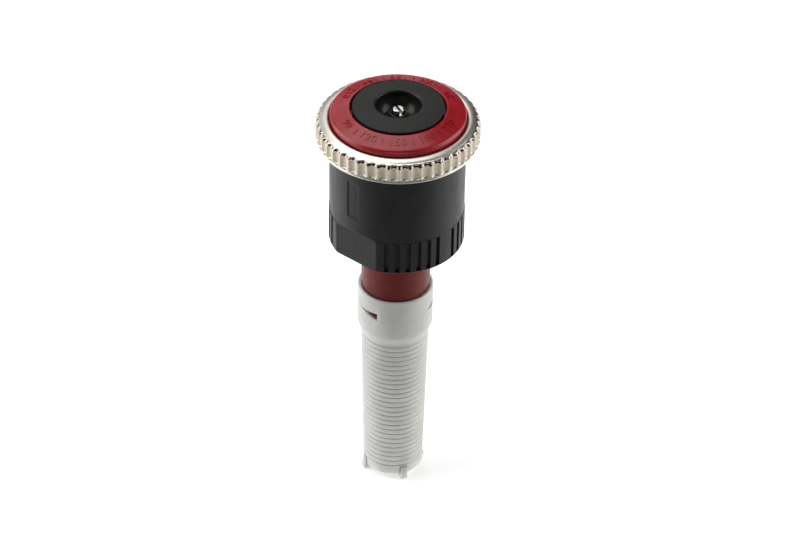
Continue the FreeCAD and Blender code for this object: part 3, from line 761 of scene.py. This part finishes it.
def head_shape(a, r, z):
    """Stream channels: round grooves in the flare that lean round the axis."""
    if z > HEAD_STEP_Z + 0.45 or r < 3.2 or z < FLARE[0][1] - 0.01:
        return r, z
    on_rim = z > HEAD_STEP_Z
    share = 1.0 if on_rim else (z - FLARE[0][1]) / (HEAD_STEP_Z - FLARE[0][1])
    pitch = 360.0 / CHANNELS
    lean = 14.0 * (share - 0.5)
    off = (a - lean) % pitch
    off = min(off, pitch - off)
    across = math.radians(off) * r
    if across >= CHANNEL_HALF:
        return r, z
    deep = math.sqrt(CHANNEL_HALF ** 2 - across ** 2) / CHANNEL_HALF * CHANNEL_DEEP
    if on_rim:
        return r - 0.3 * deep * (1 - (z - HEAD_STEP_Z) / 0.45), z
    tilt = math.radians(62 - 26 * share)
    return r - deep * math.sin(tilt), z + deep * math.cos(tilt)


def make_head(material):
    """Head: channels beneath, tall rounded wall, conical top and the cap's pocket."""
    outline = refined([(1.25, 65.3), FLARE[0]], 0.7, closed=False)[:-1]
    outline += flare_points(36)
    wall = rounded([(HEAD_R, HEAD_STEP_Z, 0), (HEAD_R, 76.12, 0.62),
                    (CONE_LOW[0] - 0.15, 76.36, 0.5),
                    (CONE_HIGH[0] - 0.18, 77.22, 0.16), (8.16, 76.95, 0.05), (8.16, 75.55, 0.1),
                    (7.2, 75.55, 0.05), (7.2, 74.2, 0.05), (4.6, 74.2, 0.05), (4.6, 71.6, 0.1),
                    (2.2, 71.6, 0.03), (2.2, 70.0, 0.03), (2.0, 70.0, 0.03), (2.0, 68.6, 0.03),
                    (1.25, 68.6, 0.03), (1.25, 65.35, 0)], closed=False, steps=6)
    outline += refined(wall, 0.5, closed=False)[1:]
    return piece("rotor_head", [lathe_mesh(outline, even(CHANNELS * 28), head_shape)],
                 material, "head", ("rotor_deflector",), sharp=40)


def cone_z(r):
    """Height of the head's conical top at a radius."""
    share = (CONE_LOW[0] - r) / (CONE_LOW[0] - CONE_HIGH[0])
    return CONE_LOW[1] + share * (CONE_HIGH[1] - CONE_LOW[1])


FIGURE_SIZE, FIGURE_R, FIGURE_RAISE, FIGURE_SUNK = 1.95, 9.66, 0.10, -0.15


def wrapped_text(words, angle):
    """Shell of raised figures that read from outside the head and lie on its cone."""
    curve = bpy.data.curves.new("figures", "FONT")
    curve.body = words
    curve.size = FIGURE_SIZE
    curve.offset = 0.006 * FIGURE_SIZE
    curve.extrude = 0.5
    curve.align_x = "CENTER"
    curve.align_y = "CENTER"
    curve.space_character = 1.15
    curve.resolution_u = 4
    carrier = bpy.data.objects.new("figures", curve)
    bpy.context.scene.collection.objects.link(carrier)
    graph = bpy.context.evaluated_depsgraph_get()
    mesh = bpy.data.meshes.new_from_object(carrier.evaluated_get(graph))
    verts = []
    for v in mesh.vertices:
        r = FIGURE_R - v.co.y
        a = math.radians(angle) + v.co.x / FIGURE_R
        z = cone_z(r) + (FIGURE_RAISE if v.co.z > 0 else FIGURE_SUNK)
        verts.append((r * math.sin(a), -r * math.cos(a), z))
    faces = [tuple(p.vertices) for p in mesh.polygons]
    bpy.data.objects.remove(carrier)
    bpy.data.meshes.remove(mesh)
    bpy.data.curves.remove(curve)
    return verts, faces


def scale_tick(angle):
    """Raised tick between two figures of the arc scale."""
    half, inner, outer = 0.07, 9.15, 10.3
    corners = []
    for lift in (FIGURE_SUNK, FIGURE_RAISE):
        for x, r in ((-half, inner), (half, inner), (half, outer), (-half, outer)):
            corners.append((x, -r, cone_z(r) + lift))
    return turned_part(block(corners), angle)


def make_scale(material):
    """Generic arc scale in degrees, raised on the head: front row and back row."""
    parts, pitch = [], 31
    words = ("90", "120", "150", "180", "210")
    for start in (-62, 118):
        for i, word in enumerate(words):
            parts.append(wrapped_text(word, start + pitch * i))
            if i < len(words) - 1:
                parts.append(scale_tick(start + pitch * (i + 0.5)))
    return piece("head_arc_scale", parts, material, "head", sharp=60)


def make_cap(material):
    """Domed cap with a bowl, a boss and a skirt."""
    top = arc_between((7.6, 77.4), (5.9, 77.70), (4.28, 77.845), 10)
    lip = arc_between(top[-1], (4.0, 77.78), (3.86, 77.52), 6)
    bowl = arc_between(lip[-1], (3.38, 75.75), (2.5, 74.9), 12)
    outline = rounded([(1.25, 74.3, 0), (2.2, 74.3, 0.02), (2.2, 73.4, 0.05), (3.2, 73.4, 0.1),
                       (3.2, 74.2, 0.05), (7.17, 74.2, 0.1), (7.17, 75.55, 0.03),
                       (7.73, 75.55, 0.08), (7.73, 77.4, 0.13), (7.6, 77.4, 0)],
                      closed=False)
    outline += top + lip + bowl
    outline += rounded([(2.5, 74.9, 0), (1.5, 74.9, 0.15), (1.5, 76.15, 0.14), (1.25, 76.15, 0.03),
                        (1.25, 74.35, 0)], closed=False)[1:]
    return piece("rotor_cap_disc", [lathe_mesh(refined(outline, 0.6), even(192))],
                 material, "head", ("rotor_cap",), sharp=40)


def make_shaft(material):
    """Radius screw: rounded slotted end, clip grooves and a helical thread below."""
    low, thread_top, top = 35.0, 42.0, 76.95
    plain = rounded([(0, thread_top, 0), (0.99, thread_top, 0), (0.99, 48.3, 0), (0.7, 48.3, 0),
                     (0.7, 48.7, 0), (0.99, 48.7, 0), (0.99, top, 0.22), (0, top, 0)],
                    closed=False)
    upper = piece("radius_screw_shaft", [lathe_mesh(refined(plain, 3.0, closed=False), even(64),
                                                    closed=False)],
                  material, "screw", ("shaft",))
    cut_from(upper, [turned_part(block([(-1.6, -0.23, top - 0.9), (1.6, -0.23, top - 0.9),
                                        (1.6, 0.23, top - 0.9), (-1.6, 0.23, top - 0.9),
                                        (-1.6, -0.23, top + 1), (1.6, -0.23, top + 1),
                                        (1.6, 0.23, top + 1), (-1.6, 0.23, top + 1)]), -63)])
    bevel = upper.modifiers.new("soft", "BEVEL")
    bevel.width = 0.00004
    bevel.segments = 2
    bevel.limit_method = "ANGLE"
    bevel.angle_limit = math.radians(60)
    apply_modifiers(upper)
    verts = [tuple(v.co / MM) for v in upper.data.vertices]
    faces = [tuple(p.vertices) for p in upper.data.polygons]
    bpy.data.objects.remove(upper)
    pitch, depth = 0.8, 0.14

    def thread(a, r, z):
        if r < 0.8 or z < low + 0.9:
            return r, z
        phase = ((z - low) / pitch - a / 360.0) % 1.0
        return r - depth * (0.5 - 0.5 * math.cos(2 * math.pi * phase)), z

    outline = rounded([(0, low, 0), (0.99, low, 0.15), (0.99, low + 0.25, 0), (0.7, low + 0.25, 0),
                       (0.7, low + 0.55, 0), (0.99, low + 0.55, 0), (0.99, thread_top, 0),
                       (0, thread_top, 0)], closed=False)
    lower = lathe_mesh(refined(outline, 0.1, closed=False), even(40), thread, closed=False)
    return piece("radius_screw_shaft", [(verts, faces), lower], material, "screw",
                 ("shaft",), sharp=42)


def make_spring(material):
    """Return spring: a fixed coil of round wire."""
    low, height, turns, mean_r, wire_r, sides = 50.27, 8.46, 5.5, 3.1, 0.25, 14
    top, steps, keep = 59.0, 264, 0.43
    verts, faces = [], []
    for i in range(steps + 1):
        a = 2 * math.pi * turns * i / steps
        for k in range(sides):
            b = 2 * math.pi * k / sides
            r = mean_r + wire_r * math.cos(b)
            verts.append((r * math.cos(a), r * math.sin(a),
                          low + height * i / steps + wire_r * math.sin(b)))
    for i in range(steps):
        for k in range(sides):
            here, there = i * sides + k, i * sides + (k + 1) % sides
            faces.append((here, there, there + sides, here + sides))
    faces.append(tuple(range(sides)))
    faces.append(tuple(steps * sides + k for k in reversed(range(sides))))
    spring = piece("return_spring_coil", [(verts, faces)], material, "base",
                   ("return_spring",))
    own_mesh(spring)


# ---- stage --------------------------------------------------------------------------------

def make_floor():
    """Pale floor, with a soft grey patch in front that darkens the middle of the satin walls."""
    mesh = bpy.data.meshes.new("floor")
    half = 3.0
    mesh.from_pydata([(-half, -half, 0), (half, -half, 0), (half, half, 0), (-half, half, 0)], [],
                     [(0, 1, 2, 3)])
    floor = bpy.data.objects.new("floor", mesh)
    bpy.context.scene.collection.objects.link(floor)
    n = Nodes("floor_white")
    axes = n.add("ShaderNodeSeparateXYZ")
    n.join(n.place, axes.inputs["Vector"])
    aside = n.math("ABSOLUTE", axes.outputs["X"], 0.0)
    behind = n.remap(axes.outputs["Y"], 0.0, 1.0, -0.075, -0.026)
    before = n.remap(axes.outputs["Y"], 1.0, 0.0, -0.34, -0.20)
    pale = n.math("MAXIMUM", n.math("MAXIMUM", behind, before),
                  n.remap(aside, 0.0, 1.0, 0.10, 0.24))
    n.set(Base_Color=n.blend(pale, (0.24, 0.24, 0.24), (0.92, 0.92, 0.92)), Roughness=0.9,
          Specular_IOR_Level=0.0, Emission_Color=(1.0, 1.0, 1.0, 1.0),
          Emission_Strength=n.math("MULTIPLY", pale, 0.38))
    floor.data.materials.append(n.material)


def aim(obj, target):
    """Turns a lamp or a camera to look at a point."""
    way = Vector(target) - obj.location
    obj.rotation_euler = way.to_track_quat("-Z", "Y").to_euler()


def softbox(name, place, size, power):
    """Rectangular area lamp aimed at the body."""
    lamp = bpy.data.lights.new(name, "AREA")
    lamp.shape = "RECTANGLE"
    lamp.size, lamp.size_y = size
    lamp.energy = power
    obj = bpy.data.objects.new(name, lamp)
    bpy.context.scene.collection.objects.link(obj)
    obj.location = place
    aim(obj, (0, 0, 0.05))


def make_lights():
    """Two tall side boxes, one overhead, a low strip in front, one behind, and a dim surround."""
    softbox("left_box", (-0.42, 0.02, 0.20), (0.40, 0.50), 1.85)
    softbox("right_box", (0.42, 0.02, 0.20), (0.40, 0.50), 1.75)
    softbox("top_box", (-0.13, 0.14, 0.55), (0.55, 0.40), 1.4)
    softbox("low_fill", (0.0, -0.50, 0.05), (0.30, 0.08), 0.25)
    softbox("back_box", (-0.12, 0.55, 0.40), (0.60, 0.40), 0.6)
    world = bpy.data.worlds.new("studio")
    bpy.context.scene.world = world
    world.use_nodes = True
    back = world.node_tree.nodes["Background"]
    back.inputs["Color"].default_value = (1, 1, 1, 1)
    back.inputs["Strength"].default_value = 0.04


def make_camera():
    """Long lens, 37 degrees above the horizon, turned a little about its own axis."""
    camera_data = bpy.data.cameras.new("camera")
    camera_data.lens = 162
    camera_data.sensor_width = 36
    camera = bpy.data.objects.new("camera", camera_data)
    bpy.context.scene.collection.objects.link(camera)
    rise = math.radians(37.3)
    lean = math.radians(0.98)
    away = 0.622
    target = Vector((0.00072, 0, 0.0437))
    camera.location = target + Vector((0, -away * math.cos(rise), away * math.sin(rise)))
    aim(camera, target)
    camera.rotation_euler.rotate_axis("Z", lean)
    bpy.context.scene.camera = camera


# ---- everything together ------------------------------------------------------------------
red = head_red()
steel = stainless()
make_camera()
make_filter(filter_white())
make_housing(body_black())
make_tube(tube_red())
make_ring(ring_nickel())
make_head(red)
make_scale(red)
make_cap(cap_black())
make_shaft(steel)
make_spring(steel)

seal, dark, cream = rubber(), inner_black(), bearing_cream()
CARRIED_OVER = {
    "tube_oring": seal, "core_oring": seal, "sleeve_oring": seal, "cap_oring": seal,
    "lip_seal": seal, "throttle_seat": dark, "stem_core": dark, "arc_sleeve": dark,
    "spring_retainer": dark, "shaft_bushing": cream, "brake_stator": cream,
    "throttle_nut": cream, "upper_bearing": cream, "lower_bearing": cream,
    "thrust_washer": cream, "retainer_clip": steel,
    "nut_stop_clip": steel,
}
for node, material in CARRIED_OVER.items():
    cad_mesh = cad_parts[node].data
    cad_mesh.materials.clear()
    cad_mesh.materials.append(material)

make_floor()
make_lights()
bpy.context.scene.view_settings.view_transform = "Standard"
